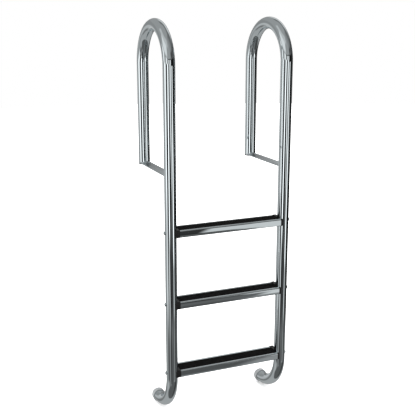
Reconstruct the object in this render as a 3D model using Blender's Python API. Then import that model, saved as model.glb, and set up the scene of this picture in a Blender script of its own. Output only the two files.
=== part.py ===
"""Three-tread pool ladder: bent tube rails, deck straps, bolted treads and end fittings.

X runs along the treads, Y from the pool towards the deck, Z up. The origin is at deck level,
midway between the rails, on the plane of the front legs' axes.
"""

from math import cos, pi, radians, sin

import bmesh
import bpy
from mathutils import Matrix, Vector

# Rails, in metres
TUBE_DIAMETER = 0.0483
TUBE_WALL = 0.0015
RAIL_SPACING = 0.500
LEG_SPACING = 0.308
LOOP_TOP = 0.603
FOOT_BEND_START = -0.844
FOOT_BEND_RADIUS = 0.166
FOOT_STRAIGHT = 0.0145

# Deck straps and leg plugs
STRAP_WIDTH = 0.045
STRAP_THICKNESS = 0.005
STRAP_HEIGHT = 0.0045
PLUG_FLANGE = 0.005
PLUG_STEM = 0.025
PLUG_WALL = 0.0035

# Wall bumpers
BUMPER_DIAMETER = 0.057
BUMPER_SLEEVE = 0.020
BUMPER_NOSE = 0.009
BUMPER_ROUNDING = 0.012
BUMPER_BORE_GAP = 0.0009

# Treads
TREAD_COUNT = 3
FIRST_TREAD_TOP = -0.213
TREAD_PITCH = 0.300
TREAD_FRONT = -0.0215
TREAD_DEPTH = 0.080
TREAD_HEIGHT = 0.030
SHEET = 0.0015
TOP_CORNER = 0.005
BOTTOM_CORNER = 0.003
FRONT_LIP = 0.0078
REAR_LIP = 0.0146
RECESS = 0.0012
RETURN_LIP = 0.009
SHELL_ENDS = {"left": 0.218, "right": 0.2305}
PAD_RIBS = 11
RIB_HEIGHT = 0.001
PAD_PROUD = 0.0002

# Tread caps and their fasteners
CAP_END = 0.246
CAP_PROUD = 0.0005
CAP_RISE = 0.0015
SPIGOT_END = 0.200
BOLT_DROP = 0.0095
BOLT_DIAMETER = 0.006
BOLT_TIP = 0.0015
HEAD_DIAMETER = 0.013
HEAD_HEIGHT = 0.0042
SOCKET_FLATS = 0.004
SOCKET_DEPTH = 0.0025
WASHER_DIAMETER = 0.015
WASHER_PROUD = 0.002
NUT_FLATS = 0.010
NUT_HEIGHT = 0.0052

# Fit between touching pieces, and how finely round shapes are divided
GAP = 0.0003
TUBE_SIDES = 20
LOOP_STEPS = 20
FOOT_STEPS = 12
SMALL_SIDES = 16
CORNER_STEPS = 3
SHARP_ANGLE = radians(35)

TUBE_RADIUS = TUBE_DIAMETER / 2
BOLT_RADIUS = BOLT_DIAMETER / 2
LEG_END = PLUG_FLANGE + GAP
LOOP_RADIUS = LEG_SPACING / 2
LOOP_CENTRE = LOOP_TOP - TUBE_RADIUS - LOOP_RADIUS
FOOT_HEIGHT = FOOT_BEND_START - FOOT_BEND_RADIUS
SIDES = {"left": -1, "right": 1}


def clear_scene():
    for obj in list(bpy.data.objects):
        bpy.data.objects.remove(obj, do_unlink=True)


def make_material(name, colour, roughness, metallic):
    material = bpy.data.materials.new(name)
    material.use_nodes = True
    shader = material.node_tree.nodes["Principled BSDF"]
    shader.inputs["Base Color"].default_value = (*colour, 1.0)
    shader.inputs["Roughness"].default_value = roughness
    shader.inputs["Metallic"].default_value = metallic
    return material


def make_empty(name, location, parent=None):
    empty = bpy.data.objects.new(name, None)
    empty.location = location
    empty.parent = parent
    bpy.context.scene.collection.objects.link(empty)
    return empty


def make_object(name, bm, material, parent=None, location=(0, 0, 0), turn=0.0):
    """Turn a bmesh into a named object, shaded smooth between its sharp edges."""
    bmesh.ops.recalc_face_normals(bm, faces=bm.faces)
    mesh = bpy.data.meshes.new(name)
    bm.to_mesh(mesh)
    bm.free()
    mesh.shade_smooth()
    mesh.set_sharp_from_angle(angle=SHARP_ANGLE)
    if material:
        mesh.materials.append(material)
    obj = bpy.data.objects.new(name, mesh)
    obj.location = location
    obj.rotation_euler = (0, 0, turn)
    obj.parent = parent
    bpy.context.scene.collection.objects.link(obj)
    return obj


def make_cutter(name, bm, parent=None, location=(0, 0, 0), turn=0.0):
    cutter = make_object(name, bm, None, parent, location, turn)
    cutter.hide_render = True
    cutter.display_type = "WIRE"
    return cutter


def combine(obj, operand, operation):
    modifier = obj.modifiers.new(operand.name, "BOOLEAN")
    modifier.object = operand
    modifier.operation = operation
    modifier.solver = "EXACT"


def moved_vertices(geometry):
    return [item for item in geometry if isinstance(item, bmesh.types.BMVert)]


def corner(centre, radius, start, end, steps=CORNER_STEPS):
    """Points of an arc in the YZ plane, from start to end in degrees."""
    angles = [radians(start + (end - start) * i / steps) for i in range(steps + 1)]
    return [(centre[0] + radius * cos(a), centre[1] + radius * sin(a)) for a in angles]


def prism(outline, x_start, x_end):
    """A closed YZ outline carried along X."""
    bm = bmesh.new()
    face = bm.faces.new([bm.verts.new((x_start, y, z)) for y, z in outline])
    geometry = bmesh.ops.extrude_face_region(bm, geom=[face])["geom"]
    bmesh.ops.translate(bm, vec=(x_end - x_start, 0, 0), verts=moved_vertices(geometry))
    return bm


def rod(radius, start, end, axis, sides=SMALL_SIDES, centre=(0, 0, 0)):
    """A cylinder, or with few sides a prism, between two places on an axis."""
    bm = bmesh.new()
    turn = Vector((0, 0, 1)).rotation_difference(Vector(axis)).to_matrix().to_4x4()
    place = Matrix.Translation(Vector(centre) + Vector(axis) * (start + end) / 2) @ turn
    bmesh.ops.create_cone(
        bm, cap_ends=True, segments=sides, radius1=radius, radius2=radius,
        depth=end - start, matrix=place,
    )
    return bm


def turned(profile, axis, sides):
    """A profile of (distance along axis, radius) points turned round the axis."""
    bm = bmesh.new()
    axis = Vector(axis)
    outward = Vector((0, 0, 1)) if abs(axis.z) < 0.5 else Vector((1, 0, 0))
    verts = [bm.verts.new(axis * along + outward * radius) for along, radius in profile]
    edges = [bm.edges.new(pair) for pair in zip(verts, verts[1:])]
    bmesh.ops.spin(
        bm, geom=verts + edges, cent=(0, 0, 0), axis=axis, angle=2 * pi, steps=sides,
    )
    bmesh.ops.remove_doubles(bm, verts=bm.verts, dist=1e-6)
    return bm


def hexagon_radius(flats):
    return flats / 2 / cos(radians(30))


def extrude_edges(bm, edges, vector):
    geometry = bmesh.ops.extrude_edge_only(bm, edges=edges)["geom"]
    bmesh.ops.translate(bm, vec=vector, verts=moved_vertices(geometry))
    return [item for item in geometry if isinstance(item, bmesh.types.BMEdge)]


def spin_edges(bm, edges, centre, angle, steps):
    verts = list({vert for edge in edges for vert in edge.verts})
    geometry = bmesh.ops.spin(
        bm, geom=verts + edges, cent=centre, axis=(1, 0, 0), angle=angle, steps=steps,
    )["geom_last"]
    return [item for item in geometry if isinstance(item, bmesh.types.BMEdge)]


def rail_surface():
    """Outer surface of the rear leg, hand loop, front leg and foot bend, open at both ends."""
    bm = bmesh.new()
    place = Matrix.Translation((0, LEG_SPACING, LEG_END))
    bmesh.ops.create_circle(bm, segments=TUBE_SIDES, radius=TUBE_RADIUS, matrix=place)
    ring = extrude_edges(bm, list(bm.edges), (0, 0, LOOP_CENTRE - LEG_END))
    ring = spin_edges(bm, ring, (0, LOOP_RADIUS, LOOP_CENTRE), pi, LOOP_STEPS)
    ring = extrude_edges(bm, ring, (0, 0, FOOT_BEND_START - LOOP_CENTRE))
    ring = spin_edges(bm, ring, (0, FOOT_BEND_RADIUS, FOOT_BEND_START), pi / 2, FOOT_STEPS)
    extrude_edges(bm, ring, (0, FOOT_STRAIGHT, 0))
    return bm


def thicken(obj, thickness):
    """Give an open surface a wall on its inner side."""
    wall = obj.modifiers.new("wall", "SOLIDIFY")
    wall.thickness = thickness
    wall.offset = -1
    wall.use_even_offset = True


def build_rail(side, steel, parent):
    rail = make_object(f"{side}_rail", rail_surface(), steel, parent)
    thicken(rail, TUBE_WALL)
    for index in range(TREAD_COUNT):
        height = FIRST_TREAD_TOP - index * TREAD_PITCH - BOLT_DROP
        reach = TUBE_RADIUS * 1.5
        hole = rod(BOLT_RADIUS + GAP, -reach, reach, (1, 0, 0), centre=(0, 0, height))
        drill = make_cutter(f"{side}_rail_drill_{index + 1}", hole, parent)
        combine(rail, drill, "DIFFERENCE")


def build_strap(side, steel, parent):
    """Flat bar between the legs, its ends hollowed to sit against the two tubes."""
    half = STRAP_WIDTH / 2
    inset = TUBE_RADIUS * 0.6
    low, high = STRAP_HEIGHT, STRAP_HEIGHT + STRAP_THICKNESS
    rear = LEG_SPACING - inset
    outline = [(inset, low), (rear, low), (rear, high), (inset, high)]
    strap = make_object(f"{side}_deck_strap", prism(outline, -half, half), steel, parent)
    for name, y in (("front", 0), ("rear", LEG_SPACING)):
        tube = rod(TUBE_RADIUS + GAP, -0.02, 0.03, (0, 0, 1), TUBE_SIDES * 2, (0, y, 0))
        cope = make_cutter(f"{side}_strap_cope_{name}", tube, parent)
        combine(strap, cope, "DIFFERENCE")


def build_leg_plug(side, plastic, parent):
    """Cup-shaped plug: a flange under the rear leg and a hollow stem inside it."""
    stem = TUBE_RADIUS - TUBE_WALL - GAP
    top = PLUG_FLANGE + PLUG_STEM
    edge = 0.001
    profile = [
        (0, 0), (0, TUBE_RADIUS - edge), (edge, TUBE_RADIUS), (PLUG_FLANGE, TUBE_RADIUS),
        (PLUG_FLANGE, stem), (top - edge, stem), (top, stem - edge),
        (top, stem - PLUG_WALL), (PLUG_FLANGE, stem - PLUG_WALL), (PLUG_FLANGE, 0),
    ]
    body = turned(profile, (0, 0, 1), TUBE_SIDES)
    make_object(f"{side}_leg_plug", body, plastic, parent, (0, LEG_SPACING, 0))


def build_bumper(side, rubber, parent):
    """Sleeve over the foot's end with a thick rounded nose, flat where it meets the wall."""
    radius = BUMPER_DIAMETER / 2
    bore = TUBE_RADIUS + BUMPER_BORE_GAP
    edge = 0.002
    nose = corner((BUMPER_NOSE - BUMPER_ROUNDING, radius - BUMPER_ROUNDING),
                  BUMPER_ROUNDING, 90, 0, 5)
    profile = [
        (GAP, 0), (GAP, bore), (-BUMPER_SLEEVE, bore), (-BUMPER_SLEEVE, radius - edge),
        (edge - BUMPER_SLEEVE, radius), *nose, (BUMPER_NOSE, 0),
    ]
    body = turned(profile, (0, 1, 0), TUBE_SIDES)
    place = (0, FOOT_BEND_RADIUS + FOOT_STRAIGHT, FOOT_HEIGHT)
    make_object(f"{side}_wall_bumper", body, rubber, parent, place)


def shell_outline():
    """Outer face of the folded channel, from the front return lip round to the rear one."""
    front, rear = TREAD_FRONT, TREAD_FRONT + TREAD_DEPTH
    low, big, small = -TREAD_HEIGHT, TOP_CORNER, BOTTOM_CORNER
    return [
        (front + RETURN_LIP, low),
        *corner((front + small, low + small), small, 270, 180),
        *corner((front + big, -big), big, 180, 90),
        (front + FRONT_LIP, 0), (front + FRONT_LIP, -RECESS),
        (rear - REAR_LIP, -RECESS), (rear - REAR_LIP, 0),
        *corner((rear - big, -big), big, 90, 0),
        *corner((rear - small, low + small), small, 0, -90),
        (rear - RETURN_LIP, low),
    ]


def make_saddle(name, side, parent):
    """Cutter in the shape of a rail's front leg, with the fit round it."""
    centre = (SIDES[side] * RAIL_SPACING / 2, 0, 0)
    leg = rod(TUBE_RADIUS + GAP, -0.06, 0.03, (0, 0, 1), TUBE_SIDES * 2, centre)
    return make_cutter(f"{name}_{side}_saddle", leg, parent)


def build_shell(name, steel, parent, saddles):
    bm = bmesh.new()
    verts = [bm.verts.new((-SHELL_ENDS["left"], y, z)) for y, z in shell_outline()]
    edges = [bm.edges.new(pair) for pair in zip(verts, verts[1:])]
    extrude_edges(bm, edges, (SHELL_ENDS["left"] + SHELL_ENDS["right"], 0, 0))
    shell = make_object(name, bm, steel, parent)
    thicken(shell, SHEET)
    combine(shell, saddles["right"], "DIFFERENCE")


def build_pad(name, rubber, parent, saddles):
    """Anti-slip insert lying in the shell's recess, with ribs along the tread."""
    front = TREAD_FRONT + FRONT_LIP + GAP
    rear = TREAD_FRONT + TREAD_DEPTH - REAR_LIP - GAP
    pitch = (rear - front) / PAD_RIBS
    land, rib = PAD_PROUD, PAD_PROUD + RIB_HEIGHT
    outline = [(front, GAP - RECESS)]
    for index in range(PAD_RIBS):
        start = front + index * pitch
        outline += [(start + pitch * share, height) for share, height in
                    ((0.15, land), (0.3, rib), (0.7, rib), (0.85, land))]
    outline[1] = (front, land)
    outline[-1] = (rear, land)
    outline.append((rear, GAP - RECESS))
    strip = prism(outline, -SHELL_ENDS["left"], SHELL_ENDS["right"])
    combine(make_object(name, strip, rubber, parent), saddles["right"], "DIFFERENCE")


def cap_outline():
    """The shell's section, a little larger all round where the cap stands out of it."""
    front, rear = TREAD_FRONT - CAP_PROUD, TREAD_FRONT + TREAD_DEPTH + CAP_PROUD
    low, high = -TREAD_HEIGHT, CAP_RISE
    big, small = TOP_CORNER, BOTTOM_CORNER
    return [
        *corner((front + small, low + small), small, 270, 180),
        *corner((front + big, high - big), big, 180, 90),
        *corner((rear - big, high - big), big, 90, 0),
        *corner((rear - small, low + small), small, 0, -90),
    ]


def spigot_outline():
    """The room inside the shell, less its sheet and the fit."""
    inset = SHEET + GAP
    front, rear = TREAD_FRONT + inset, TREAD_FRONT + TREAD_DEPTH - inset
    low, high = -TREAD_HEIGHT + inset, -RECESS - inset
    cut = BOTTOM_CORNER
    return [
        (front + cut, low), (front, low + cut), (front, high - cut), (front + cut, high),
        (rear - cut, high), (rear, high - cut), (rear, low + cut), (rear - cut, low),
    ]


def build_cap(name, side, plastic, parent, saddles):
    """Saddle round the tube, with a spigot in the shell that holds the nut."""
    sign = SIDES[side]
    joint = SHELL_ENDS[side] + GAP
    cap = make_object(name, prism(cap_outline(), sign * joint, sign * CAP_END), plastic, parent)
    overlap = 0.004
    spigot = prism(spigot_outline(), sign * SPIGOT_END, sign * (joint + overlap))
    combine(cap, make_cutter(f"{name}_spigot", spigot, parent), "UNION")
    combine(cap, saddles[side], "DIFFERENCE")

    centre = (0, 0, -BOLT_DROP)
    bore = rod(BOLT_RADIUS + GAP, SPIGOT_END - 0.01, CAP_END, (sign, 0, 0), centre=centre)
    combine(cap, make_cutter(f"{name}_bore", bore, parent), "DIFFERENCE")

    pocket = rod(hexagon_radius(NUT_FLATS + 2 * GAP), SPIGOT_END - 0.01,
                 SPIGOT_END + NUT_HEIGHT + GAP, (sign, 0, 0), 6, centre)
    combine(cap, make_cutter(f"{name}_pocket", pocket, parent), "DIFFERENCE")


def build_washer(name, steel, parent, place, turn):
    """Ring under the bolt's head, its inner face hollowed to the tube."""
    outer = TUBE_RADIUS + WASHER_PROUD
    body = rod(WASHER_DIAMETER / 2, TUBE_RADIUS * 0.9, outer, (1, 0, 0))
    washer = make_object(name, body, steel, parent, place, turn)
    tube = rod(TUBE_RADIUS + GAP, -0.02, 0.02, (0, 0, 1), TUBE_SIDES * 2)
    combine(washer, make_cutter(f"{name}_seat", tube, parent, place, turn), "DIFFERENCE")
    hole = rod(BOLT_RADIUS + GAP, 0, outer * 1.2, (1, 0, 0))
    combine(washer, make_cutter(f"{name}_hole", hole, parent, place, turn), "DIFFERENCE")


def build_bolt(name, steel, parent, place, turn):
    """Dome-head bolt with a hexagon socket, pointing at the tread."""
    seat = TUBE_RADIUS + WASHER_PROUD + GAP
    tip = SPIGOT_END - RAIL_SPACING / 2 - BOLT_TIP
    radius = HEAD_DIAMETER / 2
    dome = [(seat + HEAD_HEIGHT * sin(a), radius * cos(a))
            for a in (radians(90 * step / 5) for step in range(6))]
    dome[-1] = (seat + HEAD_HEIGHT, 0)
    edge = 0.0008
    profile = [(tip, 0), (tip, BOLT_RADIUS - edge), (tip + edge, BOLT_RADIUS),
               (seat, BOLT_RADIUS), *dome]
    bolt = make_object(name, turned(profile, (1, 0, 0), SMALL_SIDES), steel, parent, place, turn)
    top = seat + HEAD_HEIGHT
    socket = rod(hexagon_radius(SOCKET_FLATS), top - SOCKET_DEPTH, top + 0.002, (1, 0, 0), 6)
    combine(bolt, make_cutter(f"{name}_socket", socket, parent, place, turn), "DIFFERENCE")


def build_nut(name, steel, parent, place, turn):
    start = SPIGOT_END - RAIL_SPACING / 2
    body = rod(hexagon_radius(NUT_FLATS), start, start + NUT_HEIGHT, (1, 0, 0), 6)
    nut = make_object(name, body, steel, parent, place, turn)
    hole = rod(BOLT_RADIUS + GAP, start - 0.005, start + NUT_HEIGHT + 0.005, (1, 0, 0))
    combine(nut, make_cutter(f"{name}_thread", hole, parent, place, turn), "DIFFERENCE")


def build_tread(number, materials, ladder):
    height = FIRST_TREAD_TOP - (number - 1) * TREAD_PITCH
    name = f"tread_{number}"
    parent = make_empty(name, (0, 0, height), ladder)
    saddles = {side: make_saddle(name, side, parent) for side in SIDES}
    build_shell(f"{name}_shell", materials["steel"], parent, saddles)
    build_pad(f"{name}_pad", materials["grip"], parent, saddles)
    for side, sign in SIDES.items():
        place = (sign * RAIL_SPACING / 2, 0, -BOLT_DROP)
        turn = 0 if sign > 0 else pi
        build_cap(f"{name}_{side}_cap", side, materials["plastic"], parent, saddles)
        build_washer(f"{name}_{side}_washer", materials["fastener"], parent, place, turn)
        build_bolt(f"{name}_{side}_bolt", materials["fastener"], parent, place, turn)
        build_nut(f"{name}_{side}_nut", materials["fastener"], parent, place, turn)


def build_side(side, materials, ladder):
    parent = make_empty(f"{side}_side", (SIDES[side] * RAIL_SPACING / 2, 0, 0), ladder)
    build_rail(side, materials["steel"], parent)
    build_strap(side, materials["steel"], parent)
    build_leg_plug(side, materials["plug"], parent)
    build_bumper(side, materials["bumper"], parent)


def build_ladder():
    clear_scene()
    materials = {
        "steel": make_material("polished_steel", (0.62, 0.64, 0.65), 0.08, 1.0),
        "fastener": make_material("fastener_steel", (0.55, 0.56, 0.57), 0.25, 1.0),
        "plastic": make_material("black_plastic", (0.015, 0.015, 0.016), 0.4, 0.0),
        "grip": make_material("black_grip", (0.02, 0.02, 0.02), 0.8, 0.0),
        "plug": make_material("dark_grey_plastic", (0.12, 0.12, 0.125), 0.5, 0.0),
        "bumper": make_material("light_grey_rubber", (0.45, 0.47, 0.48), 0.5, 0.0),
    }
    ladder = make_empty("ladder", (0, 0, 0))
    for side in SIDES:
        build_side(side, materials, ladder)
    for number in range(1, TREAD_COUNT + 1):
        build_tread(number, materials, ladder)


build_ladder()
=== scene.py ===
"""Looks for the pool ladder: polished tubes, folded treads and moulded fittings in a pale studio.

Metres, in the CAD's frame: X along the treads, Y from the pool towards the deck, Z up, with
the origin at deck level, midway between the rails, on the plane of the front legs' axes.
"""

from math import cos, pi, radians, sin

import bmesh
import bpy
from mathutils import Matrix, Vector

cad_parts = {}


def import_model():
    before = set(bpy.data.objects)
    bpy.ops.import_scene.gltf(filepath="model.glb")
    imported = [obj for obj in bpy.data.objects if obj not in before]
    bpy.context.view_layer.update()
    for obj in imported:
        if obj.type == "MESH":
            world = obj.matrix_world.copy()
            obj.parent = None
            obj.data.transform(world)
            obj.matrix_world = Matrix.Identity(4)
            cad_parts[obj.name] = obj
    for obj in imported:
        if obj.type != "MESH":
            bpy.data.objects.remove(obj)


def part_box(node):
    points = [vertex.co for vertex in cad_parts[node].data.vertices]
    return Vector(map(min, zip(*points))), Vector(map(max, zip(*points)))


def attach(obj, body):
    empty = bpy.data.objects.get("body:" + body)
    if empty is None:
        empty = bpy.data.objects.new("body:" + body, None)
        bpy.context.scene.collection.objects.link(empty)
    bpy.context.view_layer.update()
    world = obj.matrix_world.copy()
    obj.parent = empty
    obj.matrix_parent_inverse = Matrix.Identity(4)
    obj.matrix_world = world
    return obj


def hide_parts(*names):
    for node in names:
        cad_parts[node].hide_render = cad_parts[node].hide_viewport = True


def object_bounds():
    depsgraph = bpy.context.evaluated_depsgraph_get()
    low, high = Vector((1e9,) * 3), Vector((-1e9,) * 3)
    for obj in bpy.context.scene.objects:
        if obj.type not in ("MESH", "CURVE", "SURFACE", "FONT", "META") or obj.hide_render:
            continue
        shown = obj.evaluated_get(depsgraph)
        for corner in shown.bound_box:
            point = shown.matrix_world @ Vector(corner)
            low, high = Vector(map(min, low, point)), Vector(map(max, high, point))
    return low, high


SIDES = {"left": -1, "right": 1}

# Tubes
TUBE_WALL = 0.0015
FOOT_BEND_RADIUS = 0.166
TUBE_SIDES = 64
LOOP_STEPS = 72
FOOT_STEPS = 40

# Straps and welds
STRAP_EDGE = 0.0006
WELD_LEG = 0.003
WELD_STEPS = 28
WELD_LIFT = 0.00005

# Treads
SHEET = 0.0015
TOP_CORNER = 0.005
BOTTOM_CORNER = 0.003
FRONT_LIP = 0.0078
REAR_LIP = 0.0146
RECESS = 0.0012
RETURN_LIP = 0.009
PAD_RIBS = 11
PAD_BORDER = 0.0012
RIB_HEIGHT = 0.001
# One rib: share of the pitch, share of the rib's height
RIB_PROFILE = (
    (0.10, 0), (0.18, 0.55), (0.30, 0.93), (0.42, 1.0),
    (0.58, 1.0), (0.70, 0.93), (0.82, 0.55), (0.90, 0),
)
CAP_PROUD = 0.0005
CAP_EDGE = 0.0005
SPIGOT_OVERLAP = 0.004

# Fasteners and end fittings
BOLT_DIAMETER = 0.006
BOLT_DROP = 0.0095
SOCKET_FLATS = 0.004
SOCKET_DEPTH = 0.0025
THREAD_TURNS = 14
THREAD_PITCH = 0.00125
THREAD_CREST = 0.0002
THREAD_ROOT = 0.0008
HEAD_FILLET = 0.0006
DOME_STEPS = 14
PLUG_WALL = 0.0035
BUMPER_ROUNDING = 0.012
BUMPER_FLOOR = 0.0087
BUMPER_PLAY = 0.0008

# Clearance between neighbours, and how close two points are merged
FIT = 0.0003
MERGE_DISTANCE = 0.000005
SEAM_DISTANCE = 0.000001

# Studio
CAMERA_PLACE = (-1.2212, -2.5879, 0.5881)
CAMERA_TURN = -19.544
CAMERA_PITCH = 13.259
CAMERA_ROLL = 0.858
CAMERA_LENS = 63.18
CAMERA_SHIFT = (0.1205, -0.0337)
SENSOR_WIDTH = 36.0
FLOOR_RADIUS = 12.0
FLOOR_DROP = 0.0005

STEEL_TINT = (0.92, 1.0, 1.026)
PLUG_TINT = (0.98, 1.0, 1.02)
BUMPER_TINT = (0.95, 1.0, 1.02)


# ---------------------------------------------------------------- nodes and materials

class Nodes:
    """Short calls for building one node tree."""

    def __init__(self, tree):
        self.tree = tree

    def add(self, kind, inputs=None, **settings):
        node = self.tree.nodes.new(kind)
        for name, value in settings.items():
            setattr(node, name, value)
        for key, value in (inputs or {}).items():
            self.put(node.inputs[key], value)
        return node

    def put(self, socket, value):
        if isinstance(value, bpy.types.NodeSocket):
            self.tree.links.new(value, socket)
        else:
            socket.default_value = value

    def math(self, operation, *values):
        node = self.add("ShaderNodeMath", dict(enumerate(values)), operation=operation)
        return node.outputs[0]

    def ramp(self, value, low, high, start=0.0, end=1.0):
        """Smooth change from start to end as value goes from low to high."""
        node = self.add(
            "ShaderNodeMapRange",
            {0: value, 1: low, 2: high, 3: start, 4: end},
            interpolation_type="SMOOTHSTEP",
        )
        return node.outputs[0]

    def noise(self, coordinates, scale, detail=3.0, roughness=0.5):
        node = self.add(
            "ShaderNodeTexNoise",
            {"Vector": coordinates, "Scale": scale, "Detail": detail, "Roughness": roughness},
        )
        return node.outputs[0]

    def stretch(self, coordinates, scale):
        node = self.add("ShaderNodeMapping", {"Vector": coordinates, "Scale": scale})
        return node.outputs[0]

    def mix(self, share, first, second):
        node = self.add("ShaderNodeMix", data_type="RGBA")
        self.put(node.inputs[0], share)
        self.put(node.inputs[6], first)
        self.put(node.inputs[7], second)
        return node.outputs[2]


def new_material(name):
    material = bpy.data.materials.new(name)
    material.use_nodes = True
    nodes = Nodes(material.node_tree)
    shader = material.node_tree.nodes["Principled BSDF"]
    place = nodes.add("ShaderNodeTexCoord").outputs["Object"]
    return material, nodes, shader, place


def bump(nodes, shader, height, strength, distance):
    node = nodes.add(
        "ShaderNodeBump", {"Height": height, "Strength": strength, "Distance": distance}
    )
    nodes.put(shader.inputs["Normal"], node.outputs[0])


def grey(value, tint=(1.0, 1.0, 1.0)):
    return (value * tint[0], value * tint[1], value * tint[2], 1.0)


def polished_steel(name, colour, roughness):
    """Mirror-polished stainless with faint polishing haze."""
    material, nodes, shader, place = new_material(name)
    haze = nodes.noise(place, scale=9.0, detail=4.0)
    waves = nodes.noise(nodes.stretch(place, (14.0, 14.0, 5.0)), scale=1.0, detail=1.0)
    tone = nodes.ramp(haze, 0.3, 0.7)
    nodes.put(
        shader.inputs["Base Color"],
        nodes.mix(tone, grey(colour * 0.97, STEEL_TINT), grey(colour, STEEL_TINT)),
    )
    rough = nodes.math("ADD", nodes.math("MULTIPLY", haze, roughness * 0.8), roughness * 0.6)
    nodes.put(shader.inputs["Roughness"], rough)
    shader.inputs["Metallic"].default_value = 1.0
    bump(nodes, shader, waves, strength=0.02, distance=0.002)
    return material


def brushed_steel(name, colour, roughness, grain):
    """Satin stainless with a fine grain, whose long direction has the small scale."""
    material, nodes, shader, place = new_material(name)
    streaks = nodes.noise(nodes.stretch(place, grain), scale=1.0)
    patches = nodes.noise(place, scale=25.0)
    tone = nodes.ramp(streaks, 0.25, 0.75)
    nodes.put(
        shader.inputs["Base Color"],
        nodes.mix(tone, grey(colour * 0.9, STEEL_TINT), grey(colour, STEEL_TINT)),
    )
    rough = nodes.math("ADD", nodes.math("MULTIPLY", patches, 0.12), roughness)
    nodes.put(shader.inputs["Roughness"], rough)
    shader.inputs["Metallic"].default_value = 1.0
    bump(nodes, shader, streaks, strength=0.15, distance=0.0002)
    return material


def moulded_plastic(name, colour, roughness, grain=1600.0, strength=0.15):
    """Injection-moulded plastic: fine spark-eroded texture and slight tone changes."""
    material, nodes, shader, place = new_material(name)
    texture = nodes.noise(place, scale=grain, detail=2.0, roughness=0.6)
    patches = nodes.noise(place, scale=40.0)
    nodes.put(
        shader.inputs["Base Color"],
        nodes.mix(nodes.ramp(patches, 0.3, 0.7), colour, grey(1.12, colour)),
    )
    rough = nodes.math("ADD", nodes.math("MULTIPLY", patches, 0.15), roughness)
    nodes.put(shader.inputs["Roughness"], rough)
    shader.inputs["Specular IOR Level"].default_value = 0.45
    bump(nodes, shader, texture, strength, distance=0.0003)
    return material


def ribbed_rubber(name, colour):
    """Grip insert: pebbled tops on the ribs and dust-pale wear in the grooves."""
    material, nodes, shader, place = new_material(name)
    cells = nodes.add("ShaderNodeTexVoronoi", {"Vector": place, "Scale": 900.0}).outputs[0]
    patches = nodes.noise(place, scale=60.0, detail=4.0)
    nodes.put(
        shader.inputs["Base Color"],
        nodes.mix(nodes.ramp(patches, 0.35, 0.75), colour, grey(1.8, colour)),
    )
    shader.inputs["Roughness"].default_value = 0.75
    shader.inputs["Specular IOR Level"].default_value = 0.1
    bump(nodes, shader, cells, strength=0.4, distance=0.0004)
    return material


def floor_material():
    """Matt off-white with slight changes of tone."""
    material, nodes, shader, place = new_material("studio_floor")
    tone = nodes.ramp(nodes.noise(place, scale=3.0, detail=2.0), 0.3, 0.7)
    nodes.put(shader.inputs["Base Color"], nodes.mix(tone, grey(0.9), grey(0.92)))
    shader.inputs["Roughness"].default_value = 0.9
    shader.inputs["Specular IOR Level"].default_value = 0.0
    return material


# ---------------------------------------------------------------- mesh helpers

def finish_piece(name, bm, material, sharp=30, bevel=0.0, wall=0.0, cuts=()):
    """Make the object, apply its wall, cuts and edge rounding, and let it ride on the frame."""
    bmesh.ops.recalc_face_normals(bm, faces=bm.faces)
    mesh = bpy.data.meshes.new(name)
    bm.to_mesh(mesh)
    bm.free()
    mesh.materials.append(material)
    obj = bpy.data.objects.new(name, mesh)
    bpy.context.scene.collection.objects.link(obj)
    if wall:
        modifier = obj.modifiers.new("wall", "SOLIDIFY")
        modifier.thickness = wall
        modifier.offset = -1
        modifier.use_even_offset = True
    for index, (tool, operation) in enumerate(cuts):
        modifier = obj.modifiers.new(f"cut_{index}", "BOOLEAN")
        modifier.object = tool
        modifier.operation = operation
        modifier.solver = "EXACT"
    if bevel:
        modifier = obj.modifiers.new("edges", "BEVEL")
        modifier.width = bevel
        modifier.segments = 3
        modifier.limit_method = "ANGLE"
        modifier.angle_limit = radians(40)
    apply_modifiers(obj)
    obj.data.shade_smooth()
    obj.data.set_sharp_from_angle(angle=radians(sharp))
    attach(obj, "root")
    return obj


def apply_modifiers(obj):
    """Keep the evaluated mesh, so that no cutter has to stay in the scene."""
    if not obj.modifiers:
        return
    bpy.context.view_layer.update()
    graph = bpy.context.evaluated_depsgraph_get()
    mesh = bpy.data.meshes.new_from_object(obj.evaluated_get(graph), depsgraph=graph)
    merge_doubles(mesh)
    old = obj.data
    obj.modifiers.clear()
    obj.data = mesh
    bpy.data.meshes.remove(old)


def merge_doubles(mesh):
    """Merge doubled points and drop faces without area, which cuts and bevels leave."""
    bm = bmesh.new()
    bm.from_mesh(mesh)
    bmesh.ops.remove_doubles(bm, verts=bm.verts, dist=MERGE_DISTANCE)
    bmesh.ops.dissolve_degenerate(bm, edges=bm.edges, dist=MERGE_DISTANCE)
    bm.to_mesh(mesh)
    bm.free()


def cutter(bm):
    """A hidden object that only shapes others, and is removed after that."""
    bmesh.ops.recalc_face_normals(bm, faces=bm.faces)
    mesh = bpy.data.meshes.new("cutter")
    bm.to_mesh(mesh)
    bm.free()
    obj = bpy.data.objects.new("cutter", mesh)
    obj.hide_render = True
    bpy.context.scene.collection.objects.link(obj)
    return obj


def remove(*objects):
    for obj in objects:
        mesh = obj.data
        bpy.data.objects.remove(obj, do_unlink=True)
        bpy.data.meshes.remove(mesh)


def new_verts(geometry):
    return [item for item in geometry if isinstance(item, bmesh.types.BMVert)]


def new_edges(geometry):
    return [item for item in geometry if isinstance(item, bmesh.types.BMEdge)]


def extrude_edges(bm, edges, vector):
    geometry = bmesh.ops.extrude_edge_only(bm, edges=edges)["geom"]
    bmesh.ops.translate(bm, vec=vector, verts=new_verts(geometry))
    return new_edges(geometry)


def spin_edges(bm, edges, centre, angle, steps):
    verts = list({vert for edge in edges for vert in edge.verts})
    geometry = bmesh.ops.spin(
        bm, geom=verts + edges, cent=centre, axis=(1, 0, 0), angle=angle, steps=steps,
    )["geom_last"]
    return new_edges(geometry)


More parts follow.
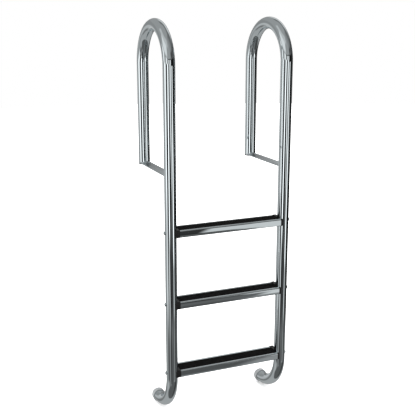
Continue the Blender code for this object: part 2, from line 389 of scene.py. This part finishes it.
def arc(centre, radius, start, end, steps):
    """Points of an arc in a plane, from start to end in degrees."""
    angles = [radians(start + (end - start) * i / steps) for i in range(steps + 1)]
    return [(centre[0] + radius * cos(a), centre[1] + radius * sin(a)) for a in angles]


def prism(outline, x_start, x_end, lift=0.0):
    """A closed YZ outline, raised by lift, carried along X."""
    bm = bmesh.new()
    face = bm.faces.new([bm.verts.new((x_start, y, z + lift)) for y, z in outline])
    geometry = bmesh.ops.extrude_face_region(bm, geom=[face])["geom"]
    bmesh.ops.translate(bm, vec=(x_end - x_start, 0, 0), verts=new_verts(geometry))
    return bm


def rod(radius, start, end, axis, sides, centre):
    """A round or many-sided bar between two distances along an axis."""
    bm = bmesh.new()
    turn = Vector((0, 0, 1)).rotation_difference(Vector(axis)).to_matrix().to_4x4()
    place = Matrix.Translation(Vector(centre) + Vector(axis) * (start + end) / 2) @ turn
    bmesh.ops.create_cone(
        bm, cap_ends=True, segments=sides, radius1=radius, radius2=radius,
        depth=end - start, matrix=place,
    )
    return bm


def turned(profile, axis, sides, centre):
    """A profile of (distance along axis, radius) points turned round the axis."""
    bm = bmesh.new()
    axis = Vector(axis)
    centre = Vector(centre)
    outward = Vector((0, 0, 1)) if abs(axis.z) < 0.5 else Vector((1, 0, 0))
    verts = [bm.verts.new(centre + axis * along + outward * r) for along, r in profile]
    edges = [bm.edges.new(pair) for pair in zip(verts, verts[1:])]
    bmesh.ops.spin(
        bm, geom=verts + edges, cent=centre, axis=axis, angle=2 * pi, steps=sides,
    )
    bmesh.ops.remove_doubles(bm, verts=bm.verts, dist=SEAM_DISTANCE)
    return bm


def hexagon_radius(flats):
    return flats / 2 / cos(radians(30))


# ---------------------------------------------------------------- rails and what is on them

class Rail:
    """Sizes of one rail, read from its CAD box."""

    def __init__(self, side):
        self.side = side
        self.node = f"{side}_rail"
        low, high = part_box(self.node)
        self.x = (low.x + high.x) / 2
        self.radius = (high.x - low.x) / 2
        self.front = low.y + self.radius
        self.rear = high.y - self.radius
        self.loop_radius = (self.rear - self.front) / 2
        self.loop_centre = high.z - self.radius - self.loop_radius
        self.foot_height = low.z + self.radius
        plug_low, plug_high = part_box(f"{side}_leg_plug")
        self.plug_low = plug_low
        self.plug_high = plug_high
        self.rear_end = self.flange_top() + FIT

    def flange_top(self):
        """Height of the plug's flange, the widest part of its CAD mesh."""
        mesh = bpy.data.objects[f"{self.side}_leg_plug"].data
        centre = Vector((self.x, self.rear))
        rim = [v.co.z for v in mesh.vertices
               if (v.co.xy - centre).length > self.radius * 0.995]
        return max(rim)


def build_tube(rail, steel):
    """One bent tube, smooth all along, with its wall seen at neither end."""
    bm = bmesh.new()
    place = Matrix.Translation((rail.x, rail.rear, rail.rear_end))
    bmesh.ops.create_circle(bm, segments=TUBE_SIDES, radius=rail.radius, matrix=place)
    ring = extrude_edges(bm, list(bm.edges), (0, 0, rail.loop_centre - rail.rear_end))
    middle = (rail.front + rail.rear) / 2
    ring = spin_edges(bm, ring, (rail.x, middle, rail.loop_centre), pi, LOOP_STEPS)
    bend_start = rail.foot_height + FOOT_BEND_RADIUS
    ring = extrude_edges(bm, ring, (0, 0, bend_start - rail.loop_centre))
    bend_centre = (rail.x, rail.front + FOOT_BEND_RADIUS, bend_start)
    ring = spin_edges(bm, ring, bend_centre, pi / 2, FOOT_STEPS)
    bumper_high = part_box(f"{rail.side}_wall_bumper")[1]
    straight_end = bumper_high.y - BUMPER_FLOOR - BUMPER_PLAY
    extrude_edges(bm, ring, (0, straight_end - rail.front - FOOT_BEND_RADIUS, 0))
    tube = finish_piece(f"{rail.side}_tube", bm, steel, wall=TUBE_WALL)
    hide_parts(rail.node)


def leg_cutters(rail):
    """The two upright legs as cutters, a little larger than the tube."""
    return [cutter(rod(rail.radius + FIT, -0.05, 0.06, (0, 0, 1), 96, (rail.x, y, 0)))
            for y in (rail.front, rail.rear)]


def build_strap(rail, steel):
    """Flat bar whose ends are hollowed to sit against both legs."""
    low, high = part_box(f"{rail.side}_deck_strap")
    inset = rail.radius * 0.6
    near, far = rail.front + inset, rail.rear - inset
    outline = [(near, low.z), (far, low.z), (far, high.z), (near, high.z)]
    cutters = leg_cutters(rail)
    strap = finish_piece(
        f"{rail.side}_strap", prism(outline, low.x, high.x), steel,
        bevel=STRAP_EDGE, cuts=[(c, "DIFFERENCE") for c in cutters],
    )
    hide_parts(f"{rail.side}_deck_strap")
    remove(*cutters)


def weld_bead(name, rail, leg_y, facing, top, steel):
    """A polished fillet between the strap's top face and the tube, following the tube."""
    half_width = (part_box(f"{rail.side}_deck_strap")[1].x - rail.x) * 0.96
    reach = rail.radius + 0.0001
    limit = half_width / reach
    bm = bmesh.new()
    rings = []
    for index in range(WELD_STEPS + 1):
        share = 2 * index / WELD_STEPS - 1
        across = share * min(limit, 0.999) * reach
        depth = (reach ** 2 - across ** 2) ** 0.5
        normal = Vector((across, facing * depth, 0)) / reach
        ripple = 1 + 0.06 * sin(index * 2.1)
        size = WELD_LEG * ripple * (1 - abs(share) ** 6 * 0.8)
        foot = Vector((rail.x + across, leg_y + facing * depth, top + WELD_LIFT))
        profile = [(0, 0), (size, 0), (size * 0.55, size * 0.22), (size * 0.22, size * 0.55),
                   (0, size)]
        rings.append([bm.verts.new(foot + normal * out + Vector((0, 0, up)))
                      for out, up in profile])
    for first, second in zip(rings, rings[1:]):
        for i in range(len(first)):
            j = (i + 1) % len(first)
            bm.faces.new((first[i], first[j], second[j], second[i]))
    bm.faces.new(rings[0][::-1])
    bm.faces.new(rings[-1])
    finish_piece(name, bm, steel, sharp=60)


def build_welds(rail, steel):
    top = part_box(f"{rail.side}_deck_strap")[1].z
    weld_bead(f"{rail.side}_weld_front", rail, rail.front, 1, top, steel)
    weld_bead(f"{rail.side}_weld_rear", rail, rail.rear, -1, top, steel)


def build_plug(rail, plastic):
    """Cup plug with a chamfered flange and a moulded recess under it."""
    low, high = rail.plug_low, rail.plug_high
    flange = rail.flange_top() - low.z
    stem = rail.radius - TUBE_WALL - FIT
    top = high.z - low.z
    edge = 0.0012
    profile = [
        (0.0014, 0), (0.0014, rail.radius * 0.62), (0, rail.radius * 0.66),
        (0, rail.radius - edge), (edge * 0.35, rail.radius - edge * 0.3), (edge, rail.radius),
        (flange - 0.0003, rail.radius), (flange, rail.radius - 0.0003), (flange, stem),
        (top - edge, stem), (top, stem - edge), (top, stem - PLUG_WALL),
        (flange, stem - PLUG_WALL), (flange, 0),
    ]
    body = turned(profile, (0, 0, 1), 64, (rail.x, rail.rear, low.z))
    plug = finish_piece(f"{rail.side}_plug", body, plastic)
    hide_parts(f"{rail.side}_leg_plug")


def build_bumper(rail, rubber):
    """Sleeve with a rolled rim, a parting groove and a rounded nose."""
    low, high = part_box(f"{rail.side}_wall_bumper")
    radius = (high.x - low.x) / 2
    length = high.y - low.y
    bore = rail.radius + 0.0009
    nose_floor = length - BUMPER_FLOOR
    groove = 0.0006
    rim = 0.0035
    lip = rail.radius + 0.0004
    profile = [
        (nose_floor, 0), (nose_floor, bore), (0.004, bore), (0.0025, lip), (0.0006, lip),
        (0, lip + 0.0006),
        *arc((rim, radius - rim), rim, 180, 90, 8),
        (length * 0.38, radius), (length * 0.38 + groove, radius - groove),
        (length * 0.38 + groove * 2, radius),
        *arc((length - BUMPER_ROUNDING, radius - BUMPER_ROUNDING), BUMPER_ROUNDING, 90, 0, 14),
        (length, radius * 0.3), (length - 0.0012, radius * 0.26), (length - 0.0012, 0),
    ]
    body = turned(profile, (0, 1, 0), 72, (rail.x, low.y, rail.foot_height))
    bumper = finish_piece(f"{rail.side}_bumper", body, rubber)
    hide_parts(f"{rail.side}_wall_bumper")


# ---------------------------------------------------------------- treads

class Tread:
    """Sizes of one tread, read from its CAD boxes. Heights are from its top face."""

    def __init__(self, number):
        self.name = f"tread_{number}"
        low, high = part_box(f"{self.name}_shell")
        self.front = low.y
        self.rear = high.y
        self.top = high.z
        self.height = high.z - low.z
        self.ends = {"left": low.x, "right": high.x}


def shell_outline(tread):
    """The folded sheet's closed outline: the outside from front to rear, then the inside."""
    front, rear, low = tread.front, tread.rear, -tread.height
    big, small, sheet = TOP_CORNER, BOTTOM_CORNER, SHEET
    dip = 0.0006
    outside = [
        (front + RETURN_LIP, low),
        *arc((front + small, low + small), small, 270, 180, 8),
        *arc((front + big, -big), big, 180, 90, 14),
        (front + FRONT_LIP - dip, 0), (front + FRONT_LIP, -dip), (front + FRONT_LIP, -RECESS),
        (rear - REAR_LIP, -RECESS), (rear - REAR_LIP, -dip), (rear - REAR_LIP + dip, 0),
        *arc((rear - big, -big), big, 90, 0, 14),
        *arc((rear - small, low + small), small, 0, -90, 8),
        (rear - RETURN_LIP, low),
    ]
    inside = [
        (front + RETURN_LIP, low + sheet),
        *arc((front + small, low + small), small - sheet, 270, 180, 6),
        *arc((front + big, -big), big - sheet, 180, 90, 10),
        (front + FRONT_LIP - sheet, -sheet), (front + FRONT_LIP - sheet, -RECESS - sheet),
        (rear - REAR_LIP + sheet, -RECESS - sheet), (rear - REAR_LIP + sheet, -sheet),
        *arc((rear - big, -big), big - sheet, 90, 0, 10),
        *arc((rear - small, low + small), small - sheet, 0, -90, 6),
        (rear - RETURN_LIP, low + sheet),
    ]
    return outside + inside[::-1]


def build_shell(tread, steel, saddles):
    """Folded channel, cleared round the right leg."""
    folded = prism(shell_outline(tread), tread.ends["left"], tread.ends["right"], tread.top)
    shell = finish_piece(
        f"{tread.name}_channel", folded, steel,
        cuts=[(saddles["right"], "DIFFERENCE")],
    )
    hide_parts(f"{tread.name}_shell")


def build_pad(tread, rubber, saddles):
    """Grip insert with rounded ribs along the tread and a plain border."""
    low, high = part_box(f"{tread.name}_pad")
    front, rear = low.y, high.y
    base, crest = low.z - tread.top, high.z - tread.top
    land = crest - RIB_HEIGHT
    pitch = (rear - front - 2 * PAD_BORDER) / PAD_RIBS
    outline = [(front, base), (front, land - 0.0004), (front + 0.0004, land)]
    for index in range(PAD_RIBS):
        start = front + PAD_BORDER + index * pitch
        outline += [(start + pitch * share, land + RIB_HEIGHT * rise)
                    for share, rise in RIB_PROFILE]
    outline += [(rear - 0.0004, land), (rear, land - 0.0004), (rear, base)]
    strip = prism(outline, low.x, high.x, tread.top)
    pad = finish_piece(
        f"{tread.name}_grip", strip, rubber, cuts=[(saddles["right"], "DIFFERENCE")],
    )
    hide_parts(f"{tread.name}_pad")


def cap_outline(tread, rise):
    """The cap's outside: the channel's shape, a little proud, and higher by rise."""
    front, rear = tread.front - CAP_PROUD, tread.rear + CAP_PROUD
    low, high = -tread.height, rise
    big, small = TOP_CORNER, BOTTOM_CORNER
    return [
        *arc((front + small, low + small), small, 270, 180, 6),
        *arc((front + big, high - big), big, 180, 90, 10),
        *arc((rear - big, high - big), big, 90, 0, 10),
        *arc((rear - small, low + small), small, 0, -90, 6),
    ]


def build_cap(tread, side, plastic, saddles):
    """Moulded saddle between the channel and the tube, with its edges rounded."""
    node = f"{tread.name}_{side}_cap"
    sign = SIDES[side]
    low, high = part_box(node)
    joint = tread.ends[side] + sign * FIT
    outer = high.x if sign > 0 else low.x
    inner = low.x if sign > 0 else high.x
    rise = high.z - tread.top
    inset = SHEET + FIT
    cut = BOTTOM_CORNER
    front, rear = tread.front + inset, tread.rear - inset
    base, roof = -tread.height + inset, -RECESS - inset
    spigot_outline = [
        (front + cut, base), (front, base + cut), (front, roof - cut), (front + cut, roof),
        (rear - cut, roof), (rear, roof - cut), (rear, base + cut), (rear - cut, base),
    ]
    spigot = cutter(prism(spigot_outline, inner, joint + sign * SPIGOT_OVERLAP, tread.top))
    centre = (0, 0, tread.top - BOLT_DROP)
    bore = cutter(rod(BOLT_DIAMETER / 2 + FIT, 0.19, 0.26, (sign, 0, 0), 32, centre))
    nut_low, nut_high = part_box(f"{tread.name}_{side}_nut")
    flats = nut_high.z - nut_low.z + 2 * FIT
    depth = nut_high.x - nut_low.x + FIT
    pocket = cutter(rod(hexagon_radius(flats), abs(inner) - 0.01, abs(inner) + depth,
                        (sign, 0, 0), 6, centre))
    cap = finish_piece(
        f"{tread.name}_{side}_saddle", prism(cap_outline(tread, rise), joint, outer, tread.top),
        plastic, bevel=CAP_EDGE,
        cuts=[(spigot, "UNION"), (saddles[side], "DIFFERENCE"), (bore, "DIFFERENCE"),
              (pocket, "DIFFERENCE")],
    )
    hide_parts(node)
    remove(spigot, bore, pocket)


# ---------------------------------------------------------------- fasteners

def build_bolt(tread, side, steel):
    """Dome head with a hexagon socket, a neck fillet and rolled thread rings at the tip."""
    node = f"{tread.name}_{side}_bolt"
    sign = SIDES[side]
    low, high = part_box(node)
    washer_low, washer_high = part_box(f"{tread.name}_{side}_washer")
    height = (low.z + high.z) / 2
    radius = (high.z - low.z) / 2
    tip, crown = sorted((abs(low.x), abs(high.x)))
    seat = max(abs(washer_low.x), abs(washer_high.x)) + FIT
    shank = BOLT_DIAMETER / 2
    head = crown - seat
    point = 0.001
    crest, root = shank - THREAD_CREST, shank - THREAD_ROOT
    profile = [(tip, 0), (tip, shank - point), (tip + point, crest)]
    for index in range(THREAD_TURNS):
        start = tip + point + index * THREAD_PITCH
        profile += [(start + THREAD_PITCH * 0.3, crest), (start + THREAD_PITCH * 0.6, root),
                    (start + THREAD_PITCH * 0.9, crest)]
    thread_end = tip + point + THREAD_CREST + THREAD_TURNS * THREAD_PITCH
    profile += [(thread_end, shank), (seat, shank), (seat, radius - HEAD_FILLET)]
    profile += arc((seat + HEAD_FILLET, radius - HEAD_FILLET), HEAD_FILLET, 180, 90, 4)[1:]
    rim = 2 * HEAD_FILLET
    dome = [(seat + rim + (head - rim) * sin(a), radius * cos(a))
            for a in (radians(90 * step / DOME_STEPS) for step in range(DOME_STEPS + 1))]
    dome[-1] = (crown, 0)
    body = turned(profile + dome, (sign, 0, 0), 48, (0, 0, height))
    socket = cutter(rod(hexagon_radius(SOCKET_FLATS), crown - SOCKET_DEPTH, crown + 0.002,
                        (sign, 0, 0), 6, (0, 0, height)))
    bolt = finish_piece(
        f"{tread.name}_{side}_screw", body, steel,
        cuts=[(socket, "DIFFERENCE")],
    )
    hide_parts(node)
    remove(socket)


def build_washer(tread, side, steel, saddles):
    """Washer with a rounded outer edge, hollowed at the back to sit on the tube."""
    node = f"{tread.name}_{side}_washer"
    sign = SIDES[side]
    low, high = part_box(node)
    height = (low.z + high.z) / 2
    radius = (high.z - low.z) / 2
    inner, outer = sorted((abs(low.x), abs(high.x)))
    edge = 0.0004
    back = inner - 0.004
    bore = BOLT_DIAMETER / 2 + FIT
    profile = [
        (back, bore), (back, radius), (outer - edge, radius),
        (outer - edge * 0.3, radius - edge * 0.3), (outer, radius - edge),
        (outer, bore + edge), (outer - edge, bore), (back, bore),
    ]
    body = turned(profile, (sign, 0, 0), 48, (0, 0, height))
    washer = finish_piece(
        f"{tread.name}_{side}_ring", body, steel,
        cuts=[(saddles[side], "DIFFERENCE")],
    )
    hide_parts(node)


def build_nut(tread, side, steel):
    """Hexagon nut with both faces chamfered round."""
    node = f"{tread.name}_{side}_nut"
    sign = SIDES[side]
    low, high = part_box(node)
    centre = (0, 0, (low.z + high.z) / 2)
    flats = high.z - low.z
    start, end = sorted((abs(low.x), abs(high.x)))
    corner_radius = hexagon_radius(flats)
    slope = 0.0009
    round_profile = [
        (start, 0), (start, flats / 2 * 0.98),
        (start + slope, corner_radius * 1.01), (end - slope, corner_radius * 1.01),
        (end, flats / 2 * 0.98), (end, 0),
    ]
    chamfer = cutter(turned(round_profile, (sign, 0, 0), 48, centre))
    hole = cutter(rod(BOLT_DIAMETER / 2 + FIT, start - 0.005, end + 0.005, (sign, 0, 0), 32,
                      centre))
    nut = finish_piece(
        f"{tread.name}_{side}_hexnut", rod(corner_radius, start, end, (sign, 0, 0), 6, centre),
        steel, cuts=[(chamfer, "INTERSECT"), (hole, "DIFFERENCE")],
    )
    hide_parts(node)
    remove(chamfer, hole)


def build_tread(number, rails, materials):
    """One tread with its caps and fasteners, cleared round both legs."""
    tread = Tread(number)
    saddles = {}
    for side, rail in rails.items():
        leg = rod(rail.radius + FIT, tread.top - 0.06, tread.top + 0.03, (0, 0, 1), 128,
                  (rail.x, rail.front, 0))
        saddles[side] = cutter(leg)
    build_shell(tread, materials["tread"], saddles)
    build_pad(tread, materials["grip"], saddles)
    for side in SIDES:
        build_cap(tread, side, materials["plastic"], saddles)
        build_washer(tread, side, materials["fastener"], saddles)
        build_bolt(tread, side, materials["fastener"])
        build_nut(tread, side, materials["fastener"])
    remove(*saddles.values())


def build_side(rail, materials):
    """One rail with its strap, welds, plug and bumper."""
    build_tube(rail, materials["tube"])
    build_strap(rail, materials["strap"])
    build_welds(rail, materials["tube"])
    build_plug(rail, materials["plug"])
    build_bumper(rail, materials["bumper"])


# ---------------------------------------------------------------- studio

# What polished metal sees, as soft-edged areas of the surrounding light: name, azimuth range,
# elevation range, softness, all in degrees, then how bright the area looks. Azimuth 0 is
# straight in front of the ladder, on the pool side, and grows towards the ladder's right.
STUDIO = [
    ("ground", (-100, 92), (-95, -23), 8, 0.098),
    ("ground_back_left", (-165, -134), (-36, -21), 6, 0.18),
    ("ground_left_pool", (-118, -76), (-45, -31), 8, 0.40),
    ("ground_left_middle", (-60, -34), (-44, -31), 8, 0.24),
    ("ground_right_pool", (14, 44), (-34, -27), 5, 0.26),
    ("ground_glow_left", (-58, -41), (-32, -22), 5, 0.26),
    ("ground_shade_left", (-36, -23), (-40, -22), 4, 0.012),
    ("ground_glow_right", (26, 44), (-32, -22), 5, 0.27),
    ("ground_shade_right", (48, 64), (-50, -22), 5, 0.012),
    ("ground_shade_far", (40, 58), (-76, -42), 6, 0.025),
    ("ground_front", (16, 27.5), (-31, -23.5), 3, 0.085),
    ("room", (-80, 140), (-23.5, 14), 3, 0.008),
    ("room_right", (76, 112), (-10, 13), 5, 0.04),
    ("back_left_wall", (-180, -114), (-24, 14), 4, 0.30),
    ("back_left_glow", (-172, -142), (-19, -3), 6, 0.46),
    ("back_wall", (-188, -169), (-22, 1), 8, 0.52),
    ("back_wall_high", (-195, -128), (0, 20), 6, 0.26),
    ("left_window_low", (-103, -76), (-23, -12), 4, 0.76),
    ("left_window", (-104, -78.5), (-14, -6), 4, 1.15),
    ("left_window_middle", (-111, -82), (-7, 1), 4, 1.15),
    ("left_window_top", (-124, -103), (0, 13), 4, 1.0),
    ("left_curtain", (-66, -54), (-7, 13), 4, 0.16),
    ("second_window_low", (-57, -38), (-24, -17), 4, 0.64),
    ("second_window", (-47.5, -32), (-17, 3), 3, 1.45),
    ("second_window_top", (-74, -42), (2, 14), 4, 0.80),
    ("front_step", (-18, 10), (-24, -16), 4, 0.05),
    ("front_step_right", (18, 29), (-24, -19.5), 3, 0.12),
    ("front_lamp_left", (-27, -13), (3, 16), 4, 0.80),
    ("front_grey", (-12, 4), (1, 14), 3, 0.30),
    ("front_lamp", (-9, 11), (-7, 3), 4, 0.95),
    ("front_lamp_middle", (-4, 12.5), (-10, -6.5), 3, 0.95),
    ("front_lamp_low", (1, 12.5), (-13, -9.5), 3, 0.75),
    ("front_lamp_foot", (0, 9), (-17, -13), 4, 0.26),
    ("front_lamp_top", (4, 16.5), (2, 13), 3, 0.90),
    ("front_haze", (12, 27), (-6, 3), 4, 0.05),
    ("front_step_high", (18, 24.5), (-18.5, -12.5), 2, 0.032),
    ("right_window_edge", (23.4, 30), (-18.5, -13), 1, 0.62),
    ("right_window", (26.5, 44), (-19.5, -9), 1.5, 0.62),
    ("right_window_core", (31, 43.5), (-20, -9), 2, 1.5),
    ("right_window_low", (28.3, 44), (-23.5, -19), 1.5, 0.64),
    ("right_window_top", (29.5, 42), (-10, -1), 2, 1.3),
    ("right_window_haze", (46, 57), (-14, -7), 4, 0.22),
    ("right_step", (62, 82), (-24, -18), 4, 0.07),
    ("right_ceiling", (22, 64), (16, 68), 10, 0.23),
    ("right_ceiling_far", (60, 112), (14, 62), 10, 0.15),
    ("right_ceiling_low", (24, 100), (13, 28), 8, 0.07),
    ("left_ceiling_high", (-125, -14), (42, 64), 12, 0.50),
    ("left_ceiling", (-106, -42), (17, 44), 10, 0.72),
    ("ceiling_line", (-40, 110), (12.5, 15.5), 2, 0.10),
    ("back_right_wall", (140, 180), (-24, 6), 12, 0.20),
    ("back_right_window", (112, 160), (20, 42), 8, 0.60),
    ("back_right_high", (95, 170), (46, 62), 8, 0.17),
]
UPPER_LIGHT = 0.31
LOWER_LIGHT = 0.36


def build_world():
    """White to the camera, soft even light on matt surfaces, and the studio in reflections."""
    world = bpy.data.worlds.new("studio")
    world.use_nodes = True
    world.cycles.sampling_method = "NONE"
    bpy.context.scene.world = world
    nodes = Nodes(world.node_tree)
    for node in list(world.node_tree.nodes):
        world.node_tree.nodes.remove(node)
    direction = nodes.add("ShaderNodeTexCoord").outputs["Generated"]
    x, y, z = nodes.add("ShaderNodeSeparateXYZ", {0: direction}).outputs
    azimuth = nodes.math("DEGREES", nodes.math("ARCTAN2", x, nodes.math("MULTIPLY", y, -1.0)))
    elevation = nodes.math("DEGREES", nodes.math("ARCSINE", z))
    reflected = studio_light(nodes, azimuth, elevation)
    above = nodes.ramp(elevation, -35.0, 25.0, 0.9, 2.6)
    rays = nodes.add("ShaderNodeLightPath")
    seen = nodes.add("ShaderNodeBackground", {"Color": grey(1.0), "Strength": 1.0})
    soft = nodes.add("ShaderNodeBackground", {"Color": grey(1.0), "Strength": above})
    studio = nodes.add("ShaderNodeBackground", {"Color": grey(1.0), "Strength": reflected})
    diffuse = nodes.add(
        "ShaderNodeMixShader",
        {0: rays.outputs["Is Diffuse Ray"], 1: studio.outputs[0], 2: soft.outputs[0]},
    )
    final = nodes.add(
        "ShaderNodeMixShader",
        {0: rays.outputs["Is Camera Ray"], 1: diffuse.outputs[0], 2: seen.outputs[0]},
    )
    nodes.add("ShaderNodeOutputWorld", {0: final.outputs[0]})


def studio_light(nodes, azimuth, elevation):
    """Brightness by direction: the plain surroundings, with each area laid over the last."""
    light = nodes.ramp(elevation, 4.0, 18.0, LOWER_LIGHT, UPPER_LIGHT)
    for name, turn, height, soft, value in STUDIO:
        across = band(nodes, azimuth, turn, soft)
        along = band(nodes, elevation, height, soft)
        share = nodes.math("MULTIPLY", across, along)
        node = nodes.add("ShaderNodeMix", data_type="FLOAT", label=name)
        nodes.put(node.inputs[0], share)
        nodes.put(node.inputs[2], light)
        nodes.put(node.inputs[3], value)
        light = node.outputs[0]
    return light


def band(nodes, value, limits, soft):
    """1 between the limits, 0 outside them, with a smooth edge of the given width."""
    middle = (limits[0] + limits[1]) / 2
    half = (limits[1] - limits[0]) / 2
    off = nodes.math("ABSOLUTE", nodes.math("SUBTRACT", value, middle))
    return nodes.ramp(off, half - soft / 2, half + soft / 2, 1.0, 0.0)


def build_floor(bounds):
    """Pale floor just under the ladder, left out of reflections."""
    bm = bmesh.new()
    bmesh.ops.create_circle(bm, cap_ends=True, segments=96, radius=FLOOR_RADIUS)
    mesh = bpy.data.meshes.new("studio_floor")
    bm.to_mesh(mesh)
    bm.free()
    mesh.materials.append(floor_material())
    floor = bpy.data.objects.new("studio_floor", mesh)
    floor.location = (0, 0, bounds[0][2] - FLOOR_DROP)
    floor.visible_glossy = False
    bpy.context.scene.collection.objects.link(floor)


def build_camera():
    data = bpy.data.cameras.new("camera")
    data.lens = CAMERA_LENS
    data.sensor_width = SENSOR_WIDTH
    data.shift_x, data.shift_y = CAMERA_SHIFT
    data.clip_end = 100.0
    camera = bpy.data.objects.new("camera", data)
    turn = Matrix.Rotation(radians(CAMERA_TURN), 4, "Z")
    tilt = Matrix.Rotation(radians(90 - CAMERA_PITCH), 4, "X")
    roll = Matrix.Rotation(radians(-CAMERA_ROLL), 4, "Z")
    camera.matrix_world = Matrix.Translation(CAMERA_PLACE) @ turn @ tilt @ roll
    bpy.context.scene.collection.objects.link(camera)
    bpy.context.scene.camera = camera


def build_ladder():
    materials = {
        "tube": polished_steel("tube_steel", 0.95, 0.012),
        "tread": polished_steel("tread_steel", 0.92, 0.02),
        "strap": brushed_steel("strap_steel", 0.72, 0.22, (500.0, 20.0, 500.0)),
        "fastener": brushed_steel("fastener_finish", 0.78, 0.16, (300.0, 300.0, 300.0)),
        "plastic": moulded_plastic("black_plastic_finish", grey(0.003), 0.3),
        "grip": ribbed_rubber("black_grip_finish", grey(0.0022)),
        "plug": moulded_plastic("dark_plastic_finish", grey(0.05, PLUG_TINT), 0.4),
        "bumper": moulded_plastic(
            "bumper_finish", grey(0.20, BUMPER_TINT), 0.5, grain=900.0, strength=0.1,
        ),
    }
    rails = {side: Rail(side) for side in SIDES}
    for rail in rails.values():
        build_side(rail, materials)
    for number in (1, 2, 3):
        build_tread(number, rails, materials)


def main():
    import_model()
    cad_box = [list(corner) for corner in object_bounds()]
    bpy.context.scene.view_settings.view_transform = "Standard"
    build_camera()
    build_world()
    build_floor(cad_box)
    build_ladder()


main()
